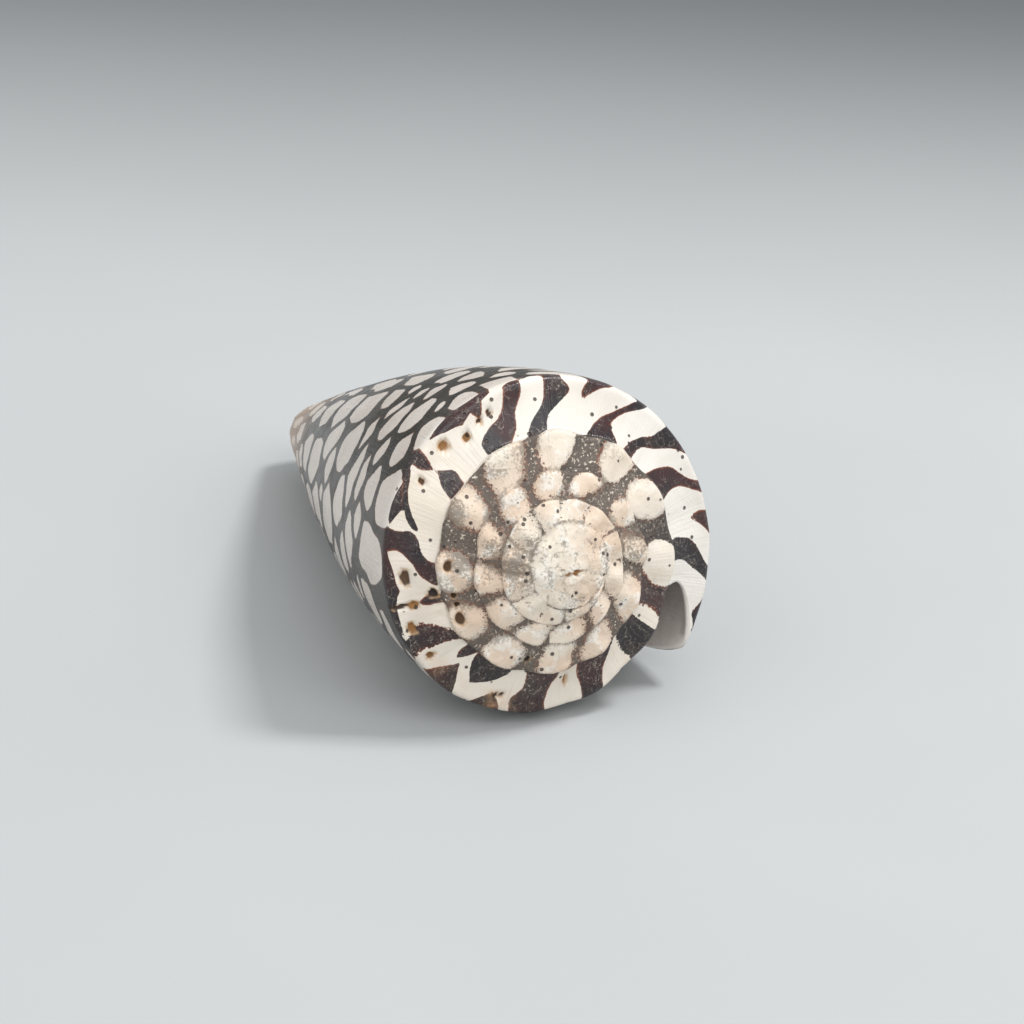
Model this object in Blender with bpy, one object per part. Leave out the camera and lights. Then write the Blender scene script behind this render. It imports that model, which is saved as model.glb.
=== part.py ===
"""Cone shell: one grown solid, lying on its aperture.

The shell is a right-handed coil.  A generating curve (a sloping ramp, a rounded
shoulder and a long, slightly convex side) turns about the axis and shrinks by a
constant factor each turn.  The wall of the last turn stands off the turn before
it, so the aperture is an open slot that runs back into the coil.

Coil frame: w runs along the axis from the apex (0) to the front tip, and turn
counts a are turns back from the lip, at the angle -2*pi*a about the axis.
Lengths inside the formulas are in shoulder radii and are scaled at the end.
"""
import math

import bmesh
import bpy
import numpy as np

# Driving dimensions, metres and degrees
SHOULDER_RADIUS = 0.0240      # widest radius, at the lip
LIP_EDGE = 0.00055            # thickness of the free lip
WALL = 0.0018                 # thickness of the wall behind the lip
SUTURE_STEP = 0.0007          # height of each turn's edge above the next ramp
AXIS_DIP = 11.60              # the tip lies lower than the apex end, degrees
COIL_TURN = 217.61            # turn of the coil about its own axis, degrees
FOOT_DEPTH = 0.0001           # how much the worn underside is flat

# Proportions, in shoulder radii
TURN_RATIO = 1.390            # radius of a turn over that of the turn before
SPIRE = 0.343                 # height of the spire
SPIRE_POWER = 1.395           # 1 is a straight spire, more is a hollow one
LENGTH = 3.3                  # apex to front tip
LENGTH_LAG = 0.151            # how far the front end moves forward as it grows
TIP = 0.178                   # radius at the front end
TIP_LAG = 0.42                # how much slimmer the older front end is
SIDE_POWER = 1.26
SIDE_BULGE = 0.048
SIDE_SWAY = 0.006
SHOULDER_ROUND = 0.040
KNOB_GAP = 0.0855             # turns from one knob of the shoulder to the next
FIRST_KNOB = 1.083            # where the first knob stands, turns back from the lip
KNOB_HEIGHT = 0.015

# Layout of the surface
COLUMNS = 46                  # columns in one turn
CAVITY_COLUMNS = 16
SPIRE_TURNS = 3               # turns that still show a step
LIP_BANDS = 1                 # bands across the lip's thickness
SINUS = 0.052                 # the lip's edge at the suture, in turns
CAVITY_TOP = 0.75             # how far the cavity runs in at the shoulder, turns
CAVITY_TIP = 0.35             # and at the front end


def smooth(x, lo, hi):
    """0 below lo, 1 above hi, and a smooth rise between."""
    t = np.clip((x - lo) / (hi - lo), 0.0, 1.0)
    return t * t * (3.0 - 2.0 * t)


def growth(a):
    return TURN_RATIO ** (-a)


def shoulder(a):
    """Radius and depth of the shoulder line, before its edge is rounded."""
    t = 2.0 * np.pi * a
    oval = 1.0 + 0.005 * (np.cos(t) - 1.0) - 0.015 * np.sin(t)
    oval += 0.010 * (np.cos(2.0 * t) - 1.0) - 0.008 * np.sin(2.0 * t)
    fade = smooth(a, 0.55, 1.2) * (1.0 - 0.6 * smooth(a, 2.4, 4.0))
    knob = KNOB_HEIGHT * fade * np.cos(2.0 * np.pi * (a - FIRST_KNOB) / KNOB_GAP)
    return growth(a) * (oval + knob), SPIRE * growth(a) ** SPIRE_POWER - 0.4 * knob * growth(a)


def front(a):
    """Depth of the front end."""
    return LENGTH * (1.0 - LENGTH_LAG * (1.0 - growth(a)))


def side(a, s):
    """r = radius * (1 - (1 - tip) s^m + bulge), w straight in s."""
    radius, depth = shoulder(a)
    slim = 1.0 - 0.16 * smooth(a, 0.7, 1.1) * smooth(s, 0.25, 0.8)
    tip = TIP * (1.0 - TIP_LAG * np.clip(a, 0.0, 1.3))
    shape = 1.0 - (1.0 - tip) * s ** SIDE_POWER
    shape = shape + SIDE_BULGE * np.sin(np.pi * s) + SIDE_SWAY * np.sin(2.0 * np.pi * s)
    end = 1.0 - 0.10 * np.maximum((s - 0.955) / 0.045, 0.0) ** 2
    return radius * shape * slim * end, depth + s * (front(a) - depth)


def suture_s(a):
    """How far down the side of turn a the next ramp meets it."""
    _, depth = shoulder(a)
    step = SUTURE_STEP / SHOULDER_RADIUS * (1.0 - 0.5 * smooth(a, 2.0, 4.0))
    return step * growth(a) ** 0.5 / (front(a) - depth)


def plain_ramp(a, u):
    """Ramp from the shoulder (u = 0) to the side of the older turn (u = 1)."""
    r0, w0 = shoulder(a)
    r1, w1 = side(a + 1.0, suture_s(a + 1.0))
    sag = 0.045 * (r0 - r1) * np.sin(np.pi * u)
    return r0 + (r1 - r0) * u, w0 + (w1 - w0) * u + sag


def rounded(a, u, s):
    """Curve through the shoulder, its corner rounded: ramp for u > 0, side for s > 0."""
    a, u, s = np.broadcast_arrays(a, u, s)
    reach = SHOULDER_ROUND * growth(a)
    r0, w0 = shoulder(a)
    r1, w1 = side(a + 1.0, suture_s(a + 1.0))
    width = np.hypot(r1 - r0, w1 - w0)
    depth = front(a) - w0
    rr, rw = plain_ramp(a, np.maximum(u, reach / width))
    sr, sw = side(a, np.maximum(s, reach / depth))
    d = np.clip(s * depth - u * width, -reach, reach)
    t = (d + reach) / (2.0 * reach)
    on_ramp = -u * width < -reach
    on_side = s * depth > reach
    r = (1 - t) ** 2 * rr + 2 * t * (1 - t) * r0 + t ** 2 * sr
    w = (1 - t) ** 2 * rw + 2 * t * (1 - t) * w0 + t ** 2 * sw
    r = np.where(on_ramp, rr, np.where(on_side, sr, r))
    w = np.where(on_ramp, rw, np.where(on_side, sw, w))
    return r, w


def side_at(a, s):
    return rounded(a, 0.0 * s, s)


def ramp_at(a, u):
    """The rounded ramp, led to the point where it meets the older turn."""
    r, w = rounded(a, u, 0.0 * u)
    fr, fw = side_at(a + 1.0, suture_s(a + 1.0) + 0.0 * u)
    pr, pw = plain_ramp(a, 1.0 + 0.0 * u)
    lead = smooth(u, 0.6, 1.0)
    return r + (fr - pr) * lead, w + (fw - pw) * lead


def lip_on_ramp(u):
    """Turns by which the lip's edge lies back on the ramp: the shallow sinus."""
    return 0.007 + 0.050 * np.sin(0.5 * np.pi * np.minimum(u / 0.8, 1.0)) - 0.005 * smooth(u, 0.8, 1.0)


def lip_on_side(s):
    """The lip swings forward below the shoulder and back again at the front end."""
    return 0.007 - 0.016 * (1.0 - np.exp(-s / 0.05)) - 0.010 * np.sin(np.pi * s) + 0.035 * smooth(s, 0.82, 1.0)


def shift(lip, i):
    """Angle shift of column i, in turns: the lip's own line fading into the sinus angle."""
    return SINUS + (lip - SINUS) * (1.0 - np.minimum(i / COLUMNS, 1.0)) ** 3


def place(a, r, w):
    th = -2.0 * np.pi * a
    return np.stack([r * np.cos(th), r * np.sin(th), w], axis=-1)


def wall_thickness(back, s):
    """From the thin lip to the full wall, thinner toward the front end."""
    lip = LIP_EDGE / SHOULDER_RADIUS
    full = WALL / SHOULDER_RADIUS
    return (lip + (full - lip) * (1.0 - np.exp(-back / 0.045))) * (1.0 - 0.45 * s)


class Skin:
    """Points and faces of the closed surface, block by block."""

    def __init__(self):
        self.points = []
        self.faces = []
        self.count = 0

    def add(self, block):
        """Append an array of points and return the array of their numbers."""
        shape = block.shape[:-1]
        flat = block.reshape(-1, 3)
        number = np.arange(self.count, self.count + len(flat)).reshape(shape)
        self.points.append(flat)
        self.count += len(flat)
        return number

    def grid(self, g, flip=False):
        """Four-sided faces over a two-way array of point numbers."""
        q = np.stack([g[:-1, :-1], g[1:, :-1], g[1:, 1:], g[:-1, 1:]], axis=-1).reshape(-1, 4)
        self.faces.extend((q[:, ::-1] if flip else q).tolist())

    def zip(self, one, two, flip=False):
        """Triangles between two rows of different lengths."""
        i, j = 0, 0
        while i < len(one) - 1 or j < len(two) - 1:
            step_one = (i + 1) / max(len(one) - 1, 1)
            step_two = (j + 1) / max(len(two) - 1, 1)
            if j == len(two) - 1 or (i < len(one) - 1 and step_one <= step_two):
                face = [one[i], one[i + 1], two[j]]
                i += 1
            else:
                face = [one[i], two[j + 1], two[j]]
                j += 1
            self.faces.append([int(n) for n in (face[::-1] if flip else face)])


def side_rows():
    """Rows down the side below the suture, closer together at both ends."""
    t = np.linspace(0.0, 1.0, 12)
    return 0.55 * t ** 1.5 + 0.45 * (1.0 - (1.0 - t) ** 1.6)


def ramp_rows():
    return np.array([0.0, 0.12, 0.30, 0.60, 0.86, 1.0])


def build_skin():
    skin = Skin()
    n, m, bands = COLUMNS, CAVITY_COLUMNS, LIP_BANDS
    sigma, us = side_rows(), ramp_rows()
    ramps = len(us) - 1

    # Outer side of the last turn, and its run on into the cavity as the inner lip
    cols = np.arange(n + m + 1, dtype=float)
    inside = np.maximum(cols - n, 0.0) / m
    reach_top = inside * (CAVITY_TOP - SINUS)
    base = np.minimum(cols / n, 1.0)
    a_top = base + SINUS + reach_top
    thick = wall_thickness(reach_top, 0.0) / (front(a_top) - shoulder(a_top)[1])
    s_foot = suture_s(a_top)
    s_top = s_foot + thick
    head = [0.0 * s_foot] + [s_foot + thick * k / bands for k in range(bands + 1)]
    body = [s_top + (1.0 - s_top) * x for x in sigma[1:]]
    s = np.stack(head + body, axis=1)
    reach = inside[:, None] * (CAVITY_TOP + (CAVITY_TIP - CAVITY_TOP) * s ** 1.3 - SINUS)
    a = base[:, None] + shift(lip_on_side(s), cols[:, None]) + reach
    r, w = side_at(a, s)
    side_points = place(a, r, w)
    first = 1 + bands

    # Ramps of the spire, one block for each turn
    i = np.arange(n)[:, None] + 0.0
    spire = []
    for k in range(SPIRE_TURNS):
        u = np.broadcast_to(us, (n, len(us)))
        lead = shift(lip_on_ramp(u), i) if k == 0 else SINUS
        ak = k + i / n + lead
        r, w = ramp_at(ak, u)
        spire.append(skin.add(place(ak, r, w)))

    # The last, worn turn narrows into a closed ring
    turn = i[:, 0] / n
    ring_a = SPIRE_TURNS + 1 + SINUS
    dent = 1.0 - 0.4 * smooth(turn, 0.0, 0.5) * (1.0 - 0.8 * smooth(turn, 0.6, 1.0))
    ring_r, ring_w = shoulder(ring_a)
    ring_r = ring_r * dent
    ring_w = ring_w * dent ** SPIRE_POWER
    ring = skin.add(place(turn + SINUS, ring_r, ring_w))
    ak = SPIRE_TURNS + i / n + SINUS
    u = np.broadcast_to(us, (n, len(us)))
    r0, w0 = ramp_at(ak, 0.0 * u)
    full_r, full_w = ramp_at(ak, u)
    thin_r = r0 + (ring_r[:, None] - r0) * u * 0.92
    thin_w = w0 + (ring_w[:, None] - w0) * u * 0.92
    mix = smooth(i / n, 0.0, 0.6)
    worn = skin.add(place(ak, full_r + (thin_r - full_r) * mix, full_w + (thin_w - full_w) * mix))
    merged = np.full((1, len(us)), ring[0])
    spire.append(np.concatenate([worn, merged]))
    for k in range(SPIRE_TURNS - 1, -1, -1):
        spire[k] = np.concatenate([spire[k], spire[k + 1][:1]])

    # Point numbers of the side: its first row is the shoulder of the spire
    lower = skin.add(side_points[:, 1:])
    lower[n, 0] = spire[0][0, -1]
    top = np.concatenate([spire[0][:, 0], np.full(m, -1)])
    number = np.concatenate([top[:, None], lower], axis=1)
    skin.grid(number[:n + 1], flip=True)
    skin.grid(number[n:, first:], flip=True)

    for k in range(SPIRE_TURNS):
        skin.grid(spire[k])
        skin.grid(np.stack([spire[k][:, -1], spire[k + 1][:, 0]], axis=1))
    last = spire[SPIRE_TURNS]
    for c in range(n - 1):
        skin.grid(last[c:c + 2])
    for row in range(ramps):
        skin.faces.append([int(last[n - 1, row]), int(ring[0]), int(last[n - 1, row + 1])])
    closed = np.concatenate([ring, ring[:1]])
    skin.grid(np.stack([last[:n, -1], ring], axis=1))
    skin.faces.append([int(last[n - 1, -1]), int(ring[0]), int(ring[n - 1])])

    # Worn dome over the apex
    rings = [closed]
    for x in (0.75, 0.50, 0.25):
        level = skin.add(place(turn + SINUS, ring_r * x, ring_w * x ** 1.8))
        rings.append(np.concatenate([level, level[:1]]))
    skin.grid(np.stack(rings, axis=1))
    apex = int(skin.add(np.array([[0.0, 0.0, 0.0]]))[0])
    for c in range(n):
        skin.faces.append([int(rings[-1][c]), int(rings[-1][c + 1]), apex])

    # Inner face of the outer wall: from the front end up the side, over the
    # shoulder and along the ramp's underside to the inner suture
    cc = np.arange(m + 1)[:, None] / m
    s_in = np.broadcast_to(s[0, ::-1], (m + 1, s.shape[1]))
    span = CAVITY_TOP + (CAVITY_TIP - CAVITY_TOP) * s_in ** 1.3
    settle = smooth(cc, -0.02, 0.4)
    a_side = cc * (span - SINUS) + lip_on_side(s_in) * (1.0 - settle) + SINUS * settle
    t = wall_thickness(cc * (span - SINUS), s_in)
    r0, w0 = shoulder(a_side)
    depth = front(a_side) - w0
    start = 1.35 * wall_thickness(cc * (span - SINUS), 0.0) / depth
    r, w = side(a_side, start + (1.0 - start) * s_in)
    side_in = place(a_side, r - t, w)

    u_in = np.broadcast_to(us[1:], (m + 1, ramps))
    a_ramp = cc * (CAVITY_TOP - SINUS) + lip_on_ramp(u_in) * (1.0 - settle) + SINUS * settle
    t = wall_thickness(cc * (CAVITY_TOP - SINUS), 0.0)
    r0, w0 = shoulder(a_ramp)
    r1, w1 = side(a_ramp + 1.0, suture_s(a_ramp + 1.0))
    begin = t / (r0 - r1)
    r, w = ramp_at(a_ramp, begin + (1.0 - begin) * u_in)
    ramp_in = place(a_ramp, r, w + t)
    inner = np.concatenate([side_in, ramp_in[:, :-1]], axis=1)
    inner_number = skin.add(inner)
    inner_number = np.concatenate([inner_number, number[n:, first:first + 1]], axis=1)
    skin.grid(inner_number, flip=True)

    # The lip's edge, from the front end to the suture
    outer_lip = np.concatenate([number[0, ::-1], spire[0][0, 1:]])
    lip = [outer_lip]
    pts = np.concatenate(skin.points)
    for k in range(1, bands):
        f = k / bands
        mid = pts[outer_lip[:-1]] * (1 - f) + pts[inner_number[0, :-1]] * f
        row = skin.add(mid)
        lip.append(np.concatenate([row, number[n, 1 + k:2 + k]]))
    lip.append(inner_number[0])
    skin.grid(np.stack(lip, axis=1))

    # The thin rim at the front end, between the outside and the cavity
    stop = int(np.argmin(np.abs(a[:n + 1, -1] - CAVITY_TIP)))
    outside = number[:stop + 1, -1]
    rim = [int(line[0]) for line in lip[1:-1]] + [int(x) for x in inner_number[:, 0]]
    skin.zip([int(x) for x in outside], rim, flip=True)

    # The cavity's far end
    far = [int(x) for x in number[n + m, first:][::-1]]
    near = [int(x) for x in inner_number[m]]
    skin.zip(near[:-1], far[:-1])
    skin.faces.append([near[-2], near[-1], far[-2]])

    # The closed front end of the pillar
    rim_loop = [int(x) for x in number[stop:, -1]] + [int(inner_number[m, 0])]
    pts = np.concatenate(skin.points)
    loop = pts[rim_loop]
    levels = [np.array(rim_loop)]
    for x, sink in ((0.55, 0.012),):
        level = loop.copy()
        level[:, :2] *= x
        level[:, 2] -= sink
        levels.append(skin.add(level))
    for outer_level, inner_level in zip(levels[:-1], levels[1:]):
        a0 = np.append(outer_level, outer_level[0])
        a1 = np.append(inner_level, inner_level[0])
        skin.grid(np.stack([a0, a1], axis=1), flip=True)
    centre = np.array([[0.0, 0.0, loop[:, 2].mean() - 0.02]])
    hub = int(skin.add(centre)[0])
    end = np.append(levels[-1], levels[-1][0])
    for c in range(len(end) - 1):
        skin.faces.append([int(end[c]), hub, int(end[c + 1])])
    return np.concatenate(skin.points), skin.faces


def lay_down(points):
    """Scale to metres and lay the coil on its aperture: +Y toward the tip, +Z up."""
    p = points * SHOULDER_RADIUS
    turn = math.radians(COIL_TURN)
    dip = math.radians(AXIS_DIP)
    x = p[:, 0] * math.cos(turn) - p[:, 1] * math.sin(turn)
    z = p[:, 0] * math.sin(turn) + p[:, 1] * math.cos(turn)
    w = p[:, 2]
    return np.stack([-x, w * math.cos(dip) + z * math.sin(dip), z * math.cos(dip) - w * math.sin(dip)], axis=-1)


def shell_material():
    mat = bpy.data.materials.new("worn marbled shell")
    mat.use_nodes = True
    bsdf = mat.node_tree.nodes["Principled BSDF"]
    bsdf.inputs["Base Color"].default_value = (0.62, 0.55, 0.47, 1.0)
    bsdf.inputs["Roughness"].default_value = 0.45
    bsdf.inputs["Metallic"].default_value = 0.0
    return mat


def build_shell(collection):
    points, faces = build_skin()
    points = lay_down(points)
    mesh = bpy.data.meshes.new("cone_shell")
    mesh.from_pydata(points.tolist(), [], faces)
    bm = bmesh.new()
    bm.from_mesh(mesh)
    bmesh.ops.delete(bm, geom=[v for v in bm.verts if not v.link_faces], context="VERTS")
    bmesh.ops.recalc_face_normals(bm, faces=bm.faces[:])
    bmesh.ops.triangulate(bm, faces=bm.faces[:])

    # The worn underside is flat where the shell touches the ground
    low = min(v.co.z for v in bm.verts)
    bmesh.ops.translate(bm, verts=bm.verts[:], vec=(0.0, 0.0, -low - FOOT_DEPTH))
    geom = bm.verts[:] + bm.edges[:] + bm.faces[:]
    bmesh.ops.bisect_plane(bm, geom=geom, dist=1e-7, plane_co=(0.0, 0.0, 0.0),
                           plane_no=(0.0, 0.0, -1.0), clear_outer=True)
    rim = [e for e in bm.edges if e.is_boundary]
    bmesh.ops.holes_fill(bm, edges=rim, sides=0)
    bmesh.ops.recalc_face_normals(bm, faces=bm.faces[:])

    # Origin under the middle of the shell
    xs = [v.co.x for v in bm.verts]
    ys = [v.co.y for v in bm.verts]
    middle = (-(min(xs) + max(xs)) / 2.0, -(min(ys) + max(ys)) / 2.0, 0.0)
    bmesh.ops.translate(bm, verts=bm.verts[:], vec=middle)
    bm.to_mesh(mesh)
    bm.free()
    mesh.materials.append(shell_material())
    mesh.shade_smooth()
    mesh.set_sharp_from_angle(angle=math.radians(35.0))
    shell = bpy.data.objects.new("cone_shell", mesh)
    collection.objects.link(shell)
    return shell


for old in list(bpy.data.objects):
    bpy.data.objects.remove(old, do_unlink=True)

parts = bpy.data.collections.new("cone shell")
bpy.context.scene.collection.children.link(parts)
build_shell(parts)
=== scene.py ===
import math

import bpy
import numpy as np
from mathutils import Matrix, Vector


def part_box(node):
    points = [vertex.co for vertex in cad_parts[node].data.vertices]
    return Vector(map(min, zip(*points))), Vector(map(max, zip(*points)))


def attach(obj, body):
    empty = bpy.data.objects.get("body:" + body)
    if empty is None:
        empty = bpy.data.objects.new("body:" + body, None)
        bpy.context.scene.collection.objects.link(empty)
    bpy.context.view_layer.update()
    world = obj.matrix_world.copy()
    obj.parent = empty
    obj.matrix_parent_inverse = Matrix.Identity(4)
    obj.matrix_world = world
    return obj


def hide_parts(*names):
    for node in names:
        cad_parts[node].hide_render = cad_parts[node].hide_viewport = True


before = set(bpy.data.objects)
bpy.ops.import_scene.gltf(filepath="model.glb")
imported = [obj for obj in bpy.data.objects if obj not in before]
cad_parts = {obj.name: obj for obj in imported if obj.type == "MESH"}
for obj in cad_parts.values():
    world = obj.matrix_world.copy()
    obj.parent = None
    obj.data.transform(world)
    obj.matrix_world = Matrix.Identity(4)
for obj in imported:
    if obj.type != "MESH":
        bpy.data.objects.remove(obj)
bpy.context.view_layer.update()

# The shell
# A sea snail's shell of layered lime, grown turn by turn at its lip as one piece.
# Its marbled colour lies in the outer layer, which the sea has worn thin on the old turns.

# Sizes in metres, and the two turns that lay the coil down, in degrees
SHOULDER_RADIUS = 0.0240      # widest radius, at the lip
RADIUS_MM = SHOULDER_RADIUS * 1000.0
LIP_EDGE = 0.00055            # thickness of the free lip
WALL = 0.0018                 # thickness of the wall behind the lip
SUTURE_STEP = 0.0007          # height of each turn's edge above the next ramp
AXIS_DIP = 11.60              # the tip lies lower than the apex end
COIL_TURN = 217.61            # turn of the coil about its own axis
FOOT_DEPTH = 0.0001           # how much the worn underside is flat

# Proportions, in shoulder radii
TURN_RATIO = 1.390            # radius of a turn over that of the turn before
SPIRE = 0.343                 # height of the spire
SPIRE_POWER = 1.395           # 1 is a straight spire, more is a hollow one
LENGTH = 3.3                  # apex to front tip
LENGTH_LAG = 0.151            # how far the front end moves forward as it grows
TIP = 0.178                   # radius at the front end
TIP_LAG = 0.42                # how much slimmer the older front end is
SIDE_POWER = 1.26             # 1 is a straight side, more is a fuller one
SIDE_BULGE = 0.048            # swelling of the side at its middle
SIDE_SWAY = 0.006             # swelling of its upper half against the lower
SHOULDER_ROUND = 0.040        # reach of the rounded corner
KNOB_HEIGHT = 0.015

# Places round the coil, in turns
KNOB_GAP = 0.0855             # from one knob of the shoulder to the next
FIRST_KNOB = 1.083            # where the first knob stands, back from the lip
SPIRE_TURNS = 3               # turns that still show a step
SINUS = 0.052                 # the lip's edge at the suture
CAVITY_TOP = 0.75             # how far the cavity runs in at the shoulder
CAVITY_TIP = 0.35             # and at the front end
OLD_SHADE = 1.004             # where the lip's last ramp gives way to the old turns' knobs

# Columns in a turn and rows of the surface
COLUMNS = 440
CAVITY_COLUMNS = 34
SIDE_ROWS = 114
RAMP_ROWS = 18
LIP_BANDS = 2


def smooth(x, lo, hi):
    """0 below lo, 1 above hi, and a cubic rise between."""
    t = np.clip((x - lo) / (hi - lo), 0.0, 1.0)
    return t * t * (3.0 - 2.0 * t)


def growth(a):
    """Size of the coil a turns back from the lip: the turn ratio to the power -a."""
    return TURN_RATIO ** (-a)


def shoulder(a):
    """Radius and depth of the shoulder: growth times a slight oval, plus low knobs on old turns."""
    t = 2.0 * np.pi * a
    oval = 1.0 + 0.005 * (np.cos(t) - 1.0) - 0.015 * np.sin(t)
    oval += 0.010 * (np.cos(2.0 * t) - 1.0) - 0.008 * np.sin(2.0 * t)
    fade = smooth(a, 0.55, 1.2) * (1.0 - 0.6 * smooth(a, 2.4, 4.0))
    knob = KNOB_HEIGHT * fade * np.cos(2.0 * np.pi * (a - FIRST_KNOB) / KNOB_GAP)
    return growth(a) * (oval + knob), SPIRE * growth(a) ** SPIRE_POWER - 0.4 * knob * growth(a)


def front(a):
    """Depth of the front end, which moves forward as the shell grows."""
    return LENGTH * (1.0 - LENGTH_LAG * (1.0 - growth(a)))


def side(a, s):
    """Side from shoulder (s = 0) to front end (1): the radius falls as s to a power, plus a bulge."""
    radius, depth = shoulder(a)
    slim = 1.0 - 0.16 * smooth(a, 0.7, 1.1) * smooth(s, 0.25, 0.8)
    tip = TIP * (1.0 - TIP_LAG * np.clip(a, 0.0, 1.3))
    shape = 1.0 - (1.0 - tip) * s ** SIDE_POWER
    shape = shape + SIDE_BULGE * np.sin(np.pi * s) + SIDE_SWAY * np.sin(2.0 * np.pi * s)
    end = 1.0 - 0.10 * np.maximum((s - 0.955) / 0.045, 0.0) ** 2
    return radius * shape * slim * end, depth + s * (front(a) - depth)


def suture_s(a):
    """How far down the side of turn a the next ramp meets it."""
    _, depth = shoulder(a)
    step = SUTURE_STEP / SHOULDER_RADIUS * (1.0 - 0.5 * smooth(a, 2.0, 4.0))
    return step * growth(a) ** 0.5 / (front(a) - depth)


def plain_ramp(a, u):
    """Straight line from the shoulder (u = 0) to the older turn's side (u = 1), with a slight sag."""
    r0, w0 = shoulder(a)
    r1, w1 = side(a + 1.0, suture_s(a + 1.0))
    sag = 0.045 * (r0 - r1) * np.sin(np.pi * u)
    return r0 + (r1 - r0) * u, w0 + (w1 - w0) * u + sag


def rounded(a, u, s):
    """Ramp for u > 0 and side for s > 0, joined by a quadratic curve round the corner."""
    a, u, s = np.broadcast_arrays(a, u, s)
    reach = SHOULDER_ROUND * growth(a)
    r0, w0 = shoulder(a)
    r1, w1 = side(a + 1.0, suture_s(a + 1.0))
    width = np.hypot(r1 - r0, w1 - w0)
    depth = front(a) - w0
    rr, rw = plain_ramp(a, np.maximum(u, reach / width))
    sr, sw = side(a, np.maximum(s, reach / depth))
    t = (np.clip(s * depth - u * width, -reach, reach) + reach) / (2.0 * reach)
    on_ramp = -u * width < -reach
    on_side = s * depth > reach
    r = (1 - t) ** 2 * rr + 2 * t * (1 - t) * r0 + t ** 2 * sr
    w = (1 - t) ** 2 * rw + 2 * t * (1 - t) * w0 + t ** 2 * sw
    r = np.where(on_ramp, rr, np.where(on_side, sr, r))
    w = np.where(on_ramp, rw, np.where(on_side, sw, w))
    return r, w


def side_at(a, s):
    """The side with its rounded shoulder."""
    return rounded(a, 0.0 * s, s)


def ramp_at(a, u):
    """The rounded ramp, led to the point where it meets the older turn."""
    r, w = rounded(a, u, 0.0 * u)
    fr, fw = side_at(a + 1.0, suture_s(a + 1.0) + 0.0 * u)
    pr, pw = plain_ramp(a, 1.0 + 0.0 * u)
    lead = smooth(u, 0.6, 1.0)
    return r + (fr - pr) * lead, w + (fw - pw) * lead


def lip_on_ramp(u):
    """Turns by which the lip lies back on the ramp: a quarter sine, the shallow sinus."""
    return 0.007 + 0.050 * np.sin(0.5 * np.pi * np.minimum(u / 0.8, 1.0)) - 0.005 * smooth(u, 0.8, 1.0)


def lip_on_side(s):
    """The lip swings forward below the shoulder and back again at the front end."""
    forward = 0.016 * (1.0 - np.exp(-s / 0.05)) + 0.010 * np.sin(np.pi * s)
    return 0.007 - forward + 0.035 * smooth(s, 0.82, 1.0)


def shift(lip, f):
    """Angle shift at the fraction f of the turn: the lip's own line fading into the sinus angle."""
    return SINUS + (lip - SINUS) * (1.0 - f) ** 3


def place(a, r, w):
    """Coil coordinates to x, y, w: the angle runs backward with the turns."""
    th = -2.0 * np.pi * a
    return np.stack([r * np.cos(th), r * np.sin(th), w + 0.0 * th], axis=-1)


def wall_thickness(back, s):
    """From the thin lip to the full wall by an exponential, thinner toward the front end."""
    lip = LIP_EDGE / SHOULDER_RADIUS
    full = WALL / SHOULDER_RADIUS
    return (lip + (full - lip) * (1.0 - np.exp(-back / 0.045))) * (1.0 - 0.45 * s)


def lay_down(points):
    """Scale to metres and lay the coil on its aperture: two turns, +Y toward the tip, +Z up."""
    p = points * SHOULDER_RADIUS
    turn = math.radians(COIL_TURN)
    dip = math.radians(AXIS_DIP)
    x = p[:, 0] * math.cos(turn) - p[:, 1] * math.sin(turn)
    z = p[:, 0] * math.sin(turn) + p[:, 1] * math.cos(turn)
    w = p[:, 2]
    y = w * math.cos(dip) + z * math.sin(dip)
    return np.stack([-x, y, z * math.cos(dip) - w * math.sin(dip)], axis=-1)


RAMP, SIDE, INSIDE, DOME, PILLAR = range(5)


class Skin:
    """The closed surface, block by block: points, their place on the coil, and faces."""

    def __init__(self):
        self.points = []
        self.places = []
        self.quads = []
        self.threes = []
        self.count = 0

    def add(self, block, kind, a, v):
        """Append a block of points of one kind, at turns a and row v, and return their numbers."""
        shape = block.shape[:-1]
        spot = np.stack(np.broadcast_arrays(np.full(shape, float(kind)), a, v), axis=-1)
        number = np.arange(self.count, self.count + block[..., 0].size).reshape(shape)
        self.points.append(block.reshape(-1, 3))
        self.places.append(spot.reshape(-1, 3))
        self.count += number.size
        return number

    def grid(self, g, flip=False):
        """Four-sided faces over a two-way array of point numbers."""
        q = np.stack([g[:-1, :-1], g[1:, :-1], g[1:, 1:], g[:-1, 1:]], axis=-1).reshape(-1, 4)
        self.quads.append(q[:, ::-1] if flip else q)

    def three(self, a, b, c, flip=False):
        """Triangles over three lists of point numbers."""
        t = np.stack(np.broadcast_arrays(a, b, c), axis=-1).reshape(-1, 3)
        self.threes.append(t[:, ::-1] if flip else t)

    def lace(self, one, two, p, q, flip=False):
        """Triangles between two rows of different lengths: their steps p and q are merged in order."""
        steps = np.concatenate([p[1:], q[1:] + 1e-9])
        order = np.argsort(steps, kind="stable")
        first = order < len(one) - 1
        i = np.cumsum(first) - first
        j = np.cumsum(~first) - ~first
        self.three(one[i[first]], one[i[first] + 1], two[j[first]], flip)
        self.three(one[i[~first]], two[j[~first] + 1], two[j[~first]], flip)


def turn_columns():
    """Columns of one turn as fractions 0 to 1, closer together where the markings are seen near."""
    f = np.linspace(0.0, 1.0, 2001)
    weight = 1.0 + 0.7 * smooth(f, 0.22, 0.34) * (1.0 - smooth(f, 0.66, 0.78)) + 0.6 * np.exp(-f / 0.02)
    run = np.concatenate([[0.0], np.cumsum(0.5 * (weight[1:] + weight[:-1]))])
    return np.interp(np.linspace(0.0, 1.0, COLUMNS + 1), run / run[-1], f)


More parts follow.
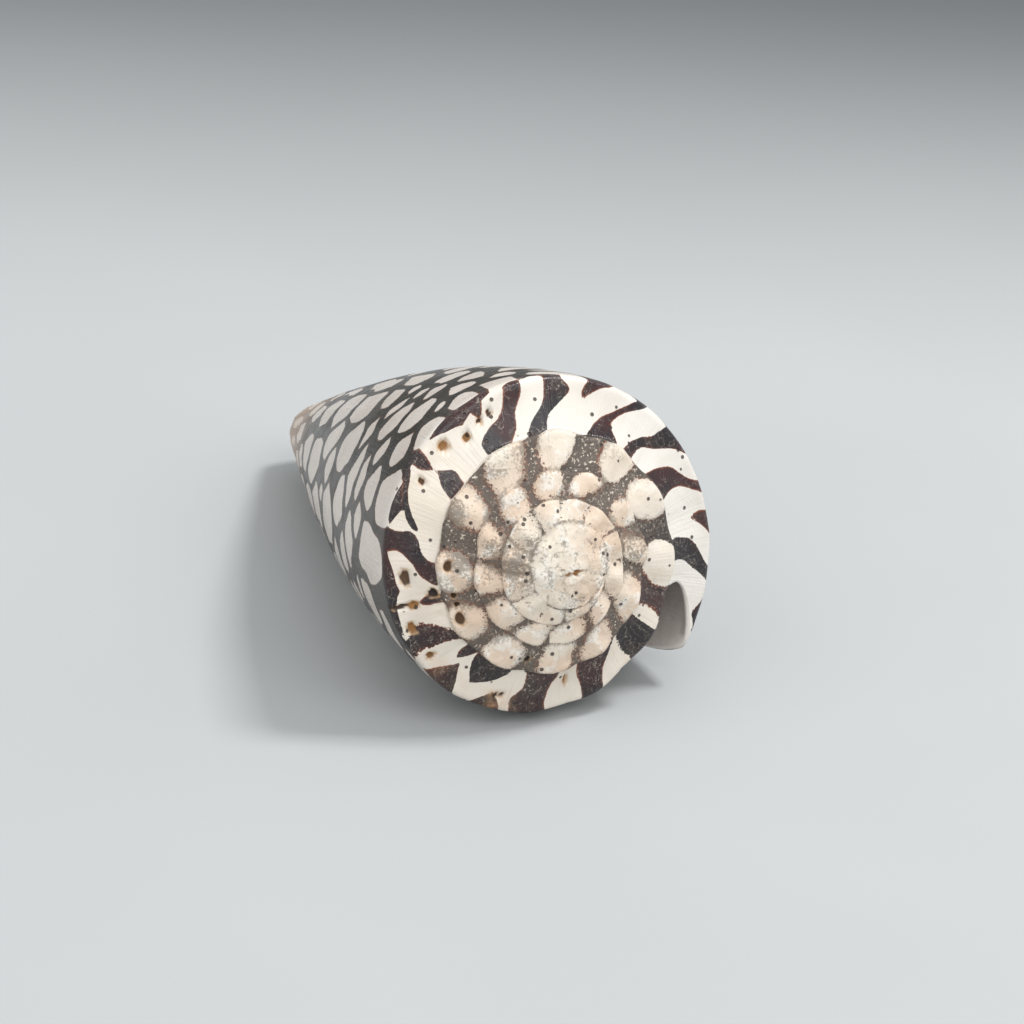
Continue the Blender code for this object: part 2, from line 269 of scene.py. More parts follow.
def grow_skin():
    """The whole surface: side, ramps, worn apex, inner wall, lip, cavity end and pillar end."""
    skin = Skin()
    n, m, bands = COLUMNS, CAVITY_COLUMNS, LIP_BANDS
    t = np.linspace(0.0, 1.0, SIDE_ROWS)
    sigma = 0.55 * t + 0.45 * t ** 2
    t = np.linspace(0.0, 1.0, RAMP_ROWS)
    us = t - 0.05 * np.sin(2.0 * np.pi * t)
    frac = turn_columns()
    cc = np.linspace(0.0, 1.0, m + 1) ** 1.3
    base = np.concatenate([frac, np.ones(m)])
    inside = np.concatenate([np.zeros(n + 1), cc[1:]])

    reach_top = inside * (CAVITY_TOP - SINUS)
    a_top = base + SINUS + reach_top
    thick = wall_thickness(reach_top, 0.0) / (front(a_top) - shoulder(a_top)[1])
    s_foot = suture_s(a_top)
    s_top = s_foot + thick
    head = [0.0 * s_foot] + [s_foot + thick * k / bands for k in range(bands + 1)]
    s = np.stack(head + [s_top + (1.0 - s_top) * x for x in sigma[1:]], axis=1)
    reach = inside[:, None] * (CAVITY_TOP + (CAVITY_TIP - CAVITY_TOP) * s ** 1.3 - SINUS)
    a = base[:, None] + shift(lip_on_side(s), base[:, None]) + reach
    side_points = place(a, *side_at(a, s))
    first = 1 + bands

    f = frac[:n, None]
    spire = []
    for k in range(SPIRE_TURNS):
        u = np.broadcast_to(us, (n, len(us)))
        ak = k + f + (shift(lip_on_ramp(u), f) if k == 0 else SINUS) + 0.0 * u
        spire.append(skin.add(place(ak, *ramp_at(ak, u)), RAMP, ak, u))

    turn = frac[:n]
    ring_a = SPIRE_TURNS + 1 + SINUS
    dent = 1.0 - 0.4 * smooth(turn, 0.0, 0.5) * (1.0 - 0.8 * smooth(turn, 0.6, 1.0))
    ring_r, ring_w = shoulder(ring_a)
    ring_r = ring_r * dent
    ring_w = ring_w * dent ** SPIRE_POWER
    ring = skin.add(place(turn + SINUS, ring_r, ring_w), DOME, turn + ring_a, 1.0)
    ak = SPIRE_TURNS + f + SINUS
    u = np.broadcast_to(us, (n, len(us)))
    r0, w0 = ramp_at(ak, 0.0 * u)
    full_r, full_w = ramp_at(ak, u)
    thin_r = r0 + (ring_r[:, None] - r0) * u * 0.92
    thin_w = w0 + (ring_w[:, None] - w0) * u * 0.92
    mix = smooth(f, 0.0, 0.6)
    worn = place(ak, full_r + (thin_r - full_r) * mix, full_w + (thin_w - full_w) * mix)
    worn = skin.add(worn, RAMP, ak, u)
    spire.append(np.concatenate([worn, np.full((1, len(us)), ring[0])]))
    for k in range(SPIRE_TURNS - 1, -1, -1):
        spire[k] = np.concatenate([spire[k], spire[k + 1][:1]])

    kinds = np.where(inside[:, None] > 0.0, INSIDE, SIDE) + 0.0 * s[:, 1:]
    lower = skin.add(side_points[:, 1:], SIDE, a[:, 1:], s[:, 1:])
    skin.places[-1][:, 0] = kinds.reshape(-1)
    lower[n, 0] = spire[0][0, -1]
    top = np.concatenate([spire[0][:, 0], np.full(m, -1)])
    number = np.concatenate([top[:, None], lower], axis=1)
    skin.grid(number[:n + 1], flip=True)
    skin.grid(number[n:, first:], flip=True)

    for k in range(SPIRE_TURNS):
        skin.grid(spire[k])
        skin.grid(np.stack([spire[k][:, -1], spire[k + 1][:, 0]], axis=1))
    last = spire[SPIRE_TURNS]
    skin.grid(last[:n])
    skin.three(last[n - 1, :-1], ring[0], last[n - 1, 1:])
    closed = np.concatenate([ring, ring[:1]])
    skin.grid(np.stack([last[:n, -1], ring], axis=1))
    skin.three(last[n - 1, -1], ring[0], ring[n - 1])

    rings = [closed]
    for x in (0.88, 0.76, 0.64, 0.52, 0.40, 0.28, 0.16, 0.07):
        level = skin.add(place(turn + SINUS, ring_r * x, ring_w * x ** 1.8), DOME, ring_a + turn, x)
        rings.append(np.concatenate([level, level[:1]]))
    skin.grid(np.stack(rings, axis=1))
    apex = skin.add(np.zeros((1, 3)), DOME, ring_a, 0.0)
    skin.three(rings[-1][:-1], rings[-1][1:], apex)

    cc = cc[:, None]
    s_in = np.broadcast_to(s[0, ::-1], (m + 1, s.shape[1]))
    span = CAVITY_TOP + (CAVITY_TIP - CAVITY_TOP) * s_in ** 1.3
    settle = smooth(cc, -0.02, 0.4)
    a_side = cc * (span - SINUS) + lip_on_side(s_in) * (1.0 - settle) + SINUS * settle
    t = wall_thickness(cc * (span - SINUS), s_in)
    depth = front(a_side) - shoulder(a_side)[1]
    start = 1.35 * wall_thickness(cc * (span - SINUS), 0.0) / depth
    r, w = side(a_side, start + (1.0 - start) * s_in)
    side_in = place(a_side, r - t, w)
    u_in = np.broadcast_to(us[1:], (m + 1, len(us) - 1))
    a_ramp = cc * (CAVITY_TOP - SINUS) + lip_on_ramp(u_in) * (1.0 - settle) + SINUS * settle
    t = wall_thickness(cc * (CAVITY_TOP - SINUS), 0.0)
    begin = t / (shoulder(a_ramp)[0] - side(a_ramp + 1.0, suture_s(a_ramp + 1.0))[0])
    r, w = ramp_at(a_ramp, begin + (1.0 - begin) * u_in)
    ramp_in = place(a_ramp, r, w + t)
    inner = np.concatenate([side_in, ramp_in[:, :-1]], axis=1)
    inner_a = np.concatenate([a_side, a_ramp[:, :-1]], axis=1)
    inner_v = np.concatenate([s_in, -u_in[:, :-1]], axis=1)
    inner_number = skin.add(inner, INSIDE, inner_a, inner_v)
    inner_number = np.concatenate([inner_number, number[n:, first:first + 1]], axis=1)
    skin.grid(inner_number, flip=True)

    outer_lip = np.concatenate([number[0, ::-1], spire[0][0, 1:]])
    lip = [outer_lip]
    pts = np.concatenate(skin.points)
    spots = np.concatenate(skin.places)
    for k in range(1, bands):
        mid = pts[outer_lip[:-1]] * (1 - k / bands) + pts[inner_number[0, :-1]] * (k / bands)
        spot = spots[inner_number[0, :-1]]
        row = skin.add(mid, INSIDE, spot[:, 1], spot[:, 2])
        lip.append(np.concatenate([row, number[n, 1 + k:2 + k]]))
    lip.append(inner_number[0])
    skin.grid(np.stack(lip, axis=1))

    stop = int(np.argmin(np.abs(a[:n + 1, -1] - CAVITY_TIP)))
    outside = number[:stop + 1, -1]
    rim = np.concatenate([[line[0] for line in lip[1:-1]], inner_number[:, 0]])
    p = (a[:stop + 1, -1] - a[0, -1]) / (a[stop, -1] - a[0, -1])
    q = (a_side[:, 0] - a_side[0, 0]) / (a_side[-1, 0] - a_side[0, 0])
    q = np.concatenate([np.zeros(bands - 1), q])
    skin.lace(outside, rim, p, q, flip=True)

    far = number[n + m, first:][::-1]
    near = inner_number[m]
    p = np.linspace(0.0, 1.0, len(near) - 1)
    q = np.linspace(0.0, 1.0, len(far) - 1)
    skin.lace(near[:-1], far[:-1], p, q)
    skin.three(near[-2], near[-1], far[-2])

    rim_loop = np.append(number[stop:, -1], inner_number[m, 0])
    loop = np.concatenate(skin.points)[rim_loop]
    levels = [rim_loop]
    for x, sink in ((0.82, 0.005), (0.62, 0.010), (0.40, 0.014), (0.20, 0.017)):
        level = loop * (x, x, 1.0) - (0.0, 0.0, sink)
        levels.append(skin.add(level, PILLAR, 1.0, x))
    closed_levels = [np.append(level, level[0]) for level in levels]
    skin.grid(np.stack(closed_levels, axis=1), flip=True)
    hub = skin.add(np.array([[0.0, 0.0, loop[:, 2].mean() - 0.02]]), PILLAR, 1.0, 0.0)
    end = closed_levels[-1]
    skin.three(end[:-1], hub, end[1:])
    return skin


def ripple(p, size, seed):
    """Smooth random height, -1 to 1: hashed heights on a cubic grid, blended by a cubic step."""
    q = p / size + seed * 17.31
    cell = np.floor(q)
    f = q - cell
    f = f * f * (3.0 - 2.0 * f)
    total = np.zeros(len(p))
    for dx in (0, 1):
        for dy in (0, 1):
            for dz in (0, 1):
                h = (cell[:, 0] + dx) * 127.1 + (cell[:, 1] + dy) * 311.7 + (cell[:, 2] + dz) * 74.7 + seed
                h = np.sin(h) * 43758.5453
                h = 2.0 * (h - np.floor(h)) - 1.0
                wx = f[:, 0] if dx else 1.0 - f[:, 0]
                wy = f[:, 1] if dy else 1.0 - f[:, 1]
                wz = f[:, 2] if dz else 1.0 - f[:, 2]
                total += h * wx * wy * wz
    return total


# Dark bars of the last ramp: the two edges in turns back from the lip, at the
# suture, at three quarters, half and a quarter of the ramp, and at the shoulder.
# A bar whose edges cross ends there.
RAMP_BARS = (
    ((0.104, 0.080), (0.104, 0.082), (0.099, 0.072), (0.079, 0.066), (0.072, 0.060)),
    ((0.112, 0.124), (0.112, 0.124), (0.118, 0.121), (0.124, 0.112), (0.122, 0.098)),
    ((0.198, 0.152), (0.190, 0.158), (0.178, 0.155), (0.158, 0.145), (0.147, 0.137)),
    ((0.242, 0.224), (0.232, 0.220), (0.220, 0.206), (0.212, 0.190), (0.208, 0.174)),
    ((0.296, 0.250), (0.286, 0.269), (0.273, 0.262), (0.256, 0.245), (0.244, 0.234)),
    ((0.298, 0.310), (0.298, 0.310), (0.300, 0.306), (0.307, 0.298), (0.300, 0.275)),
    ((0.382, 0.350), (0.362, 0.345), (0.350, 0.330), (0.348, 0.316), (0.346, 0.330)),
    ((0.432, 0.402), (0.430, 0.386), (0.398, 0.380), (0.390, 0.371), (0.388, 0.371)),
    ((0.412, 0.428), (0.412, 0.428), (0.414, 0.424), (0.424, 0.411), (0.426, 0.412)),
    ((0.503, 0.476), (0.497, 0.470), (0.483, 0.488), (0.496, 0.483), (0.494, 0.480)),
    ((0.550, 0.572), (0.550, 0.572), (0.557, 0.545), (0.537, 0.522), (0.512, 0.497)),
    ((0.617, 0.585), (0.603, 0.575), (0.583, 0.553), (0.575, 0.558), (0.580, 0.556)),
    ((0.700, 0.684), (0.693, 0.668), (0.690, 0.655), (0.684, 0.660), (0.690, 0.672)),
    ((0.792, 0.735), (0.780, 0.738), (0.758, 0.750), (0.752, 0.762), (0.752, 0.762)),
    ((0.866, 0.812), (0.853, 0.817), (0.853, 0.815), (0.852, 0.808), (0.854, 0.812)),
    ((0.960, 0.895), (0.937, 0.890), (0.925, 0.892), (0.923, 0.892), (0.921, 0.893)),
    ((1.010, 0.965), (1.010, 0.959), (1.010, 0.960), (1.010, 0.962), (1.010, 0.960)),
    ((0.025, 0.035), (0.025, 0.035), (0.025, 0.035), (0.028, 0.036), (0.050, 0.016)),
    ((0.430, 0.440), (0.430, 0.440), (0.430, 0.440), (0.434, 0.442), (0.476, 0.392)),
    ((0.530, 0.540), (0.530, 0.540), (0.530, 0.540), (0.531, 0.539), (0.556, 0.512)),
    ((0.610, 0.620), (0.610, 0.620), (0.610, 0.620), (0.617, 0.622), (0.668, 0.568)),
    ((0.725, 0.735), (0.727, 0.735), (0.730, 0.728), (0.742, 0.714), (0.748, 0.706)),
    ((0.640, 0.628), (0.642, 0.626), (0.630, 0.640), (0.630, 0.640), (0.630, 0.640)),
    ((0.735, 0.712), (0.728, 0.712), (0.715, 0.725), (0.715, 0.725), (0.715, 0.725)),
    ((0.780, 0.790), (0.780, 0.790), (0.782, 0.788), (0.794, 0.774), (0.800, 0.766)),
)

# How dark each patch between the knobs of the old turns still is, from the newest on
GAP_INK = (
    0.8, 1.0, 0.9, 1.0, 0.7, 0.8, 0.95, 0.9, 0.8, 0.75, 0.75, 0.7,
    0.7, 0.95, 0.95, 0.85, 0.75, 0.75, 0.65, 0.55, 0.45, 0.5, 0.35, 0.3,
)

# White tents of the near side: middle in turns and down the side, half width,
# half height, and where the blunt corner points (degrees, 0 toward the lip, 90 up)
SIDE_TENTS = (
    (0.590, 0.080, 0.029, 0.060, -30), (0.530, 0.032, 0.026, 0.044, 0), (0.487, 0.068, 0.018, 0.026, 0),
    (0.530, 0.118, 0.022, 0.027, 0), (0.460, 0.025, 0.021, 0.030, -30), (0.420, 0.030, 0.018, 0.034, -20),
    (0.433, 0.070, 0.010, 0.018, 0), (0.383, 0.030, 0.018, 0.034, -20), (0.403, 0.100, 0.017, 0.022, 0),
    (0.447, 0.115, 0.023, 0.030, 0), (0.493, 0.147, 0.017, 0.017, 0), (0.566, 0.150, 0.019, 0.021, -15),
    (0.528, 0.183, 0.021, 0.019, 0), (0.459, 0.185, 0.027, 0.031, 15), (0.417, 0.163, 0.015, 0.015, 0),
    (0.427, 0.205, 0.011, 0.012, 0), (0.594, 0.201, 0.031, 0.022, -10), (0.528, 0.235, 0.029, 0.023, 15),
    (0.489, 0.262, 0.020, 0.015, 0), (0.446, 0.230, 0.017, 0.021, 0), (0.420, 0.258, 0.015, 0.015, 0),
    (0.562, 0.287, 0.027, 0.031, -15), (0.503, 0.327, 0.028, 0.044, 0), (0.434, 0.310, 0.018, 0.042, -40),
    (0.593, 0.380, 0.035, 0.044, 0), (0.535, 0.415, 0.021, 0.027, 10), (0.449, 0.395, 0.025, 0.060, -60),
    (0.503, 0.460, 0.027, 0.039, 10), (0.452, 0.520, 0.032, 0.056, -30), (0.575, 0.440, 0.014, 0.013, 0),
    (0.602, 0.500, 0.033, 0.040, 0), (0.540, 0.560, 0.037, 0.053, 0), (0.456, 0.630, 0.029, 0.048, -20),
    (0.537, 0.668, 0.034, 0.050, 0), (0.652, 0.130, 0.031, 0.036, 30), (0.640, 0.178, 0.027, 0.017, 20),
    (0.622, 0.252, 0.027, 0.018, 20), (0.640, 0.322, 0.028, 0.026, 20), (0.660, 0.230, 0.020, 0.018, 20),
    (0.380, 0.135, 0.016, 0.033, 0), (0.383, 0.205, 0.018, 0.028, 0), (0.393, 0.310, 0.016, 0.055, 0),
    (0.404, 0.460, 0.014, 0.070, 0), (0.365, 0.070, 0.015, 0.020, 0), (0.412, 0.610, 0.012, 0.055, 0),
    (0.618, 0.600, 0.028, 0.045, 0), (0.496, 0.560, 0.008, 0.012, 0), (0.498, 0.720, 0.026, 0.045, 0),
)

# Holes bored and broken in the ramps: turns, row up the ramp, radius in
# millimetres across and along the ramp, and how ochre the inside is
RAMP_HOLES = (
    (0.627, 0.87, 0.62, 0.55, 0.0), (0.637, 0.45, 0.55, 0.60, 0.9), (0.605, 0.40, 0.95, 0.60, 0.2),
    (0.660, 0.28, 0.70, 0.55, 0.8), (0.635, 0.12, 0.28, 1.60, 0.1), (0.698, 0.30, 0.50, 0.50, 0.6),
    (0.790, 0.32, 0.35, 0.35, 0.1), (0.797, 0.36, 0.30, 0.30, 0.1), (0.440, 0.50, 0.55, 0.55, 0.8),
    (0.464, 0.30, 0.70, 0.65, 0.9), (0.420, 0.40, 0.45, 0.40, 0.8), (0.408, 0.36, 0.35, 0.45, 0.2),
    (0.875, 0.70, 0.25, 0.75, 0.9), (0.504, 0.35, 0.40, 0.35, 0.3), (1.670, 0.30, 0.70, 0.55, 0.2),
    (1.590, 0.30, 0.65, 0.55, 0.2), (1.806, 0.45, 0.40, 0.40, 0.0), (1.635, 0.33, 0.35, 0.30, 0.1),
    (1.650, 0.33, 0.30, 0.30, 0.1),
)


def bowed(u, bar):
    """The two edges of a bar at the rows u: straight between its five places, then evened out."""
    where = (1.0, 0.75, 0.5, 0.25, 0.0)
    edges = []
    for k in (0, 1):
        near = [u + over for over in (-0.10, -0.05, 0.0, 0.05, 0.10)]
        edges.append(sum(np.interp(row, where[::-1], bar[::-1, k]) for row in near) / len(near))
    return edges


def tent(a, s, around, down, spec):
    """Height in mm of one pale tent: an oval whose exponent falls from its blunt end to its point."""
    a0, s0, wide, high, point = spec
    x = (a0 - a) / wide
    y = (s0 - s) / high
    c, d = math.cos(math.radians(point)), math.sin(math.radians(point))
    x, y = x * c + y * d, y * c - x * d
    p = 1.8 - 0.65 * np.clip(x, -1.0, 1.0)
    reach = (np.abs(x / 1.08) ** p + np.abs(y / 1.05) ** p) ** (1.0 / p)
    return (1.0 - reach) * np.minimum(wide * around, high * down)


def far_tents():
    """Tents of the sides that the light hardly shows: offset rows, jittered by a fixed seed."""
    dice = np.random.default_rng(7)
    rows = (
        0.030, 0.075, 0.120, 0.165, 0.210, 0.260, 0.320, 0.380,
        0.450, 0.520, 0.590, 0.660, 0.730, 0.800, 0.880,
    )
    tents = []
    for k, s0 in enumerate(rows):
        gap = 0.062 if s0 < 0.28 else 0.075
        tall = 0.5 * (rows[min(k + 1, len(rows) - 1)] - rows[max(min(k, len(rows) - 2), 0)])
        for a0 in np.arange(-0.04 + 0.5 * gap * (k % 2), 1.1, gap):
            spot = a0 + dice.uniform(-0.012, 0.012)
            size = dice.uniform(0.75, 1.15)
            lift = s0 + dice.uniform(-0.3, 0.3) * tall
            if s0 > 0.70 or not 0.36 < spot < 0.655:
                tents.append((spot, lift, 0.50 * gap * size, 1.05 * tall * size, dice.uniform(-35, 35)))
    return tents


def mark(skin, points):
    """Relief in mm along the normal, and the named fields that the material reads."""
    spots = np.concatenate(skin.places)
    kind, a, v = spots[:, 0], spots[:, 1], spots[:, 2]
    mm = points * RADIUS_MM
    around = np.maximum(np.hypot(mm[:, 0], mm[:, 1]), 1.0) * 2.0 * np.pi
    on_ramp = kind == RAMP
    on_side = kind == SIDE
    r0, w0 = shoulder(a)
    r1, w1 = side(a + 1.0, suture_s(a + 1.0))
    wide = np.hypot(r0 - r1, w0 - w1) * RADIUS_MM
    down = (front(a) - w0) * RADIUS_MM
    u = np.where(on_ramp, v, 0.0)
    s = np.where(on_side, v, 0.0)

    # Outlines wander by a few tenths of a millimetre
    sway = 0.30 * ripple(mm, 2.8, 1) + 0.10 * ripple(mm, 1.2, 2)
    lift = 0.30 * ripple(mm, 2.6, 3) + 0.10 * ripple(mm, 1.1, 4)
    aw = a + sway / around
    uw = np.clip(u + lift / wide, 0.0, 1.0)
    sw = s + lift / down

    dark = np.full(len(a), -9.0)
    for bar in RAMP_BARS:
        hi, lo = bowed(uw, np.array(bar))
        dark = np.maximum(dark, np.minimum(hi - aw, aw - lo))
    bars = -dark * around

    # The knobs of the old turns are pale ovals, and the dark is what lies between them
    ak = aw + 0.45 * smooth(a, 1.0, 1.2) * ripple(mm, 3.4, 5) / around
    knob = np.rint((ak - FIRST_KNOB) / KNOB_GAP)
    lean = 0.014 * (uw - 0.5) + 0.006 * np.sin(knob * 2.3)
    half = KNOB_GAP * (0.335 + 0.045 * np.sin(knob * 3.1))
    off = np.abs(ak - FIRST_KNOB - knob * KNOB_GAP - lean) / half
    tall = np.abs(uw - 0.42 - 0.06 * np.sin(knob * 1.7)) / (0.63 + 0.09 * np.sin(knob * 5.3))
    oval = (1.0 - (off ** 2.1 + tall ** 2.1) ** (1.0 / 2.1)) * 0.30 * KNOB_GAP * around
    gap = np.clip(np.floor((ak - FIRST_KNOB) / KNOB_GAP) + 1, 0, 40).astype(int)
    ink = np.concatenate([GAP_INK, np.full(20, 0.06)])[gap]
    oval = oval + (1.0 - ink) * 1.0
    ramp_pale = np.where(aw > OLD_SHADE, oval, bars)
    ink = np.where(on_ramp & (aw > OLD_SHADE), ink, 1.0)
    ink = ink - np.where(on_ramp, 0.35 * smooth(a, 0.93, 0.97) * (1.0 - smooth(a, 1.0, 1.01)), 0.0)
    ink = ink - np.where(on_ramp, 0.5 * smooth(a, 0.64, 0.66) * (1.0 - smooth(a, 0.69, 0.71)), 0.0)

    # Tents swell until a dark line is left where two of them meet
    best = np.full(len(a), -3.0)
    next_best = np.full(len(a), -3.0)
    for spec in list(SIDE_TENTS) + far_tents():
        near = on_side & (np.abs(a - spec[0]) < 2.5 * spec[2] + 0.03)
        near = near & (np.abs(s - spec[1]) < 2.5 * spec[3] + 0.03)
        height = tent(aw[near], sw[near], around[near], down[near], spec)
        next_best[near] = np.maximum(next_best[near], np.minimum(best[near], height))
        best[near] = np.maximum(best[near], height)
    below = smooth(s, 0.06, 0.24)
    tents = np.minimum(best + 0.02 + 0.22 * below, 0.5 * (best - next_best) - 0.62 + 0.08 * below)
    edge = smooth(s, 0.002, 0.014)
    pale = np.where(on_side, ramp_pale * (1.0 - edge) + tents * edge, ramp_pale)
    pale = np.where(kind >= INSIDE, 2.0, pale)

    hole = np.zeros(len(a))
    ochre = np.zeros(len(a))
    for a0, u0, across, along, tint in RAMP_HOLES:
        x = (a - a0) * around / across
        y = (u - u0) * wide / along
        d = np.hypot(x, y) + 0.25 * ripple(mm, 0.6, 9)
        h = np.where(on_ramp, 1.0 - smooth(d, 0.55, 1.3), 0.0)
        ochre = np.where(h > hole, tint, ochre)
        hole = np.maximum(hole, h)

    # A short slit broken into the worn apex
    x = ((mm[:, 0] - 1.45) * 0.72 - (mm[:, 1] + 0.26) * 0.69) / 1.5
    y = ((mm[:, 0] - 1.45) * 0.69 + (mm[:, 1] + 0.26) * 0.72) / 0.32
    h = np.where(kind == DOME, 1.0 - smooth(np.hypot(x, y) + 0.3 * ripple(mm, 0.7, 9), 0.5, 1.3), 0.0)
    ochre = np.where(h > 0.0, 0.8, ochre)
    hole = np.maximum(hole, h)

    rubbed = smooth(ripple(mm, 3.2, 12) + 0.5 * ripple(mm, 1.1, 13), 0.0, 0.8)
    middle = smooth(a, 0.56, 0.68) * (1.0 - 0.3 * smooth(a, 0.80, 0.98))
    worn = 0.12 + 0.25 * middle + 0.6 * smooth(a, 0.95, 1.3) + 0.25 * rubbed
    worn = np.where(on_ramp, worn, 0.15 + 0.2 * rubbed)
    worn = np.where(kind == DOME, 1.0, worn)
    stain = smooth(a, 0.68, 0.72) * (1.0 - smooth(a, 0.80, 0.84)) * (1.0 - smooth(u, 0.35, 0.6))
    stain = np.where(on_ramp | (on_side & (s < 0.02)), stain * (0.25 + 0.75 * rubbed), 0.0)

    # Painted shade along the suture, on both sides of the step, broken into patches
    crease = smooth(u, 0.86, 1.0) + 0.5 * (1.0 - smooth(u, 0.0, 0.12)) * smooth(a, 0.95, 1.1)
    crease = crease * (0.25 + 0.75 * smooth(ripple(mm, 2.2, 42), -0.2, 0.7))
    dirt_and_crease_shade = np.where(on_ramp, crease * (0.35 + 0.45 * smooth(a, 0.9, 1.2)), 0.0)
    # Painted shade in the hollows between the knobs of the old turns
    between = 0.5 * (1.0 - smooth(oval, -0.2, 0.9)) * smooth(a, 1.0, 1.1)
    dirt_and_crease_shade = dirt_and_crease_shade + np.where(on_ramp & (a > 1.0), between, 0.0)
    # Dirt smudges and rubbed dirt on the ramps
    smudge = smooth(ripple(mm, 4.6, 40) + 0.5 * ripple(mm, 1.8, 41), 0.0, 0.7) * smooth(a, 0.9, 1.1)
    dirt_and_crease_shade = dirt_and_crease_shade + np.where(on_ramp, 0.55 * smudge + 0.25 * middle * rubbed, 0.0)
    # The worn apex: a dirt wash, with painted shade in the groove along the old coil line
    turn_there = -np.log(np.maximum(around / (2.0 * np.pi * RADIUS_MM), 0.02)) / math.log(TURN_RATIO)
    coil_line = np.mod(turn_there - a + 0.04 * ripple(mm, 1.4, 31) + 0.5, 1.0) - 0.5
    coil_line = np.exp(-(coil_line / 0.07) ** 2)
    dirt_and_crease_shade = np.where(kind == DOME, 0.12 + 0.15 * rubbed + 0.35 * coil_line, np.clip(dirt_and_crease_shade, 0.0, 1.0))

    arc = 2.0 * np.pi * RADIUS_MM * (1.0 - growth(a)) / math.log(TURN_RATIO)
    run = np.where(on_side, s * down, -u * wide)
    old = np.where(on_ramp, smooth(a, 0.9, 1.7), np.where(kind == DOME, 1.0, 0.0))
    lines = np.stack([arc, run * 0.06, 0.0 * arc], axis=-1)
    relief = 0.05 * ripple(lines, 1.7, 20) * (1.0 - 0.5 * old)
    relief += 0.05 * ripple(mm, 5.0, 21) + (0.01 + 0.20 * old) * ripple(mm, 1.7, 22)
    swell = 0.5 + 0.5 * np.cos(2.0 * np.pi * (a - FIRST_KNOB) / KNOB_GAP)
    relief += np.where(on_ramp, 0.42 * smooth(a, 0.95, 1.1) * (swell - 0.3) * np.sin(np.pi * u) ** 0.7, 0.0)
    eroded = np.maximum(ripple(mm, 0.9, 25) - 0.35, 0.0) * smooth(ripple(mm, 4.0, 26), -0.1, 0.5)
    relief -= 0.50 * eroded * np.maximum(old, 0.6 * np.where(on_ramp, middle, 0.0))
    cords = np.sin(2.0 * np.pi * (s * 40.0 + a * 6.0)) * smooth(s, 0.62, 0.80)
    relief += 0.05 * cords * on_side
    relief -= 0.55 * hole
    relief = np.where(kind >= INSIDE, 0.02 * ripple(mm, 3.0, 23), relief)
    rings = np.sin(2.0 * np.pi * (np.hypot(mm[:, 0], mm[:, 1]) / 0.62 + 0.6 * ripple(mm, 2.5, 27)))
    worn_top = 0.20 * ripple(mm, 1.5, 24) + 0.16 * ripple(mm, 2.6, 28) + 0.05 * rings
    worn_top = worn_top - 0.4 * eroded - 0.12 * coil_line - 0.45 * hole
    relief = np.where(kind == DOME, worn_top, relief)

    fields = {
        "pale": pale,
        "ink": ink,
        "worn": np.clip(worn, 0.0, 1.0),
        "stain": stain,
        "dirt_and_crease_shade": dirt_and_crease_shade,
        "hole": hole,
        "ochre": ochre,
        "inside": np.where((kind == INSIDE) | (kind == PILLAR), 1.0, 0.0),
        "old": old,
        "side": np.where(on_side, smooth(s, 0.0, 0.03), 0.0),
        "tip": np.where(on_side, smooth(s, 0.66, 0.96), 0.0),
        "warm": np.where(on_ramp, smooth(a, 0.22, 0.55), 0.0) * (0.7 + 0.3 * rubbed),
        "rim": np.where(on_ramp, smooth(hole, 0.0, 0.06) * (1.0 - smooth(hole, 0.35, 0.7)), 0.0),
    }
    grain = np.stack([arc, run, 0.0 * arc], axis=-1)
    return relief, fields, grain


def point_normals(points, quads, threes):
    """Area-weighted mean of the faces' normals at each point."""
    total = np.zeros_like(points)
    c = np.cross(points[quads[:, 2]] - points[quads[:, 0]], points[quads[:, 3]] - points[quads[:, 1]])
    for k in range(4):
        for axis in range(3):
            total[:, axis] += np.bincount(quads[:, k], c[:, axis], len(points))
    c = np.cross(points[threes[:, 1]] - points[threes[:, 0]], points[threes[:, 2]] - points[threes[:, 0]])
    for k in range(3):
        for axis in range(3):
            total[:, axis] += np.bincount(threes[:, k], c[:, axis], len(points))
    return total / np.maximum(np.linalg.norm(total, axis=1, keepdims=True), 1e-12)


skin = grow_skin()
raw = np.concatenate(skin.points)
quads = np.concatenate(skin.quads)
threes = np.concatenate(skin.threes)
normals = point_normals(raw, quads, threes)
relief, fields, grain = mark(skin, raw)
laid = lay_down(raw + normals * (relief / RADIUS_MM)[:, None])

used = np.zeros(len(laid), bool)
used[quads.ravel()] = True
used[threes.ravel()] = True
low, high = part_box("cone_shell")
move = np.array([
    (low[0] + high[0] - laid[used, 0].min() - laid[used, 0].max()) / 2.0,
    (low[1] + high[1] - laid[used, 1].min() - laid[used, 1].max()) / 2.0,
    -laid[used, 2].min() - FOOT_DEPTH,
])
laid = laid + move
laid[:, 2] = np.maximum(laid[:, 2], 0.0)
apex_at = move.copy()

renumber = np.cumsum(used) - 1
mesh = bpy.data.meshes.new("cone_shell_surface")
mesh.from_pydata(laid[used].tolist(), [], renumber[quads].tolist() + renumber[threes].tolist())
mesh.polygons.foreach_set("use_smooth", np.ones(len(mesh.polygons), bool))
for name, values in fields.items():
    layer = mesh.attributes.new(name, "FLOAT", "POINT")
    layer.data.foreach_set("value", values[used].astype(np.float32))
layer = mesh.attributes.new("grain", "FLOAT_VECTOR", "POINT")
layer.data.foreach_set("vector", grain[used].astype(np.float32).ravel())
mesh.update()
shell = bpy.data.objects.new("worn_cone_shell", mesh)
bpy.context.scene.collection.objects.link(shell)


def wire(tree, kind, inputs, **settings):
    """One shader node: its settings, then each input as a value or as another node's output."""
    made = tree.nodes.new(kind)
    for name, value in settings.items():
        setattr(made, name, value)
    for key, value in inputs.items():
        if isinstance(value, bpy.types.NodeSocket):
            tree.links.new(value, made.inputs[key])
        else:
            made.inputs[key].default_value = value
    return made


def field(tree, name):
    """A named field of the mesh as a number."""
    return wire(tree, "ShaderNodeAttribute", {}, attribute_name=name).outputs["Fac"]


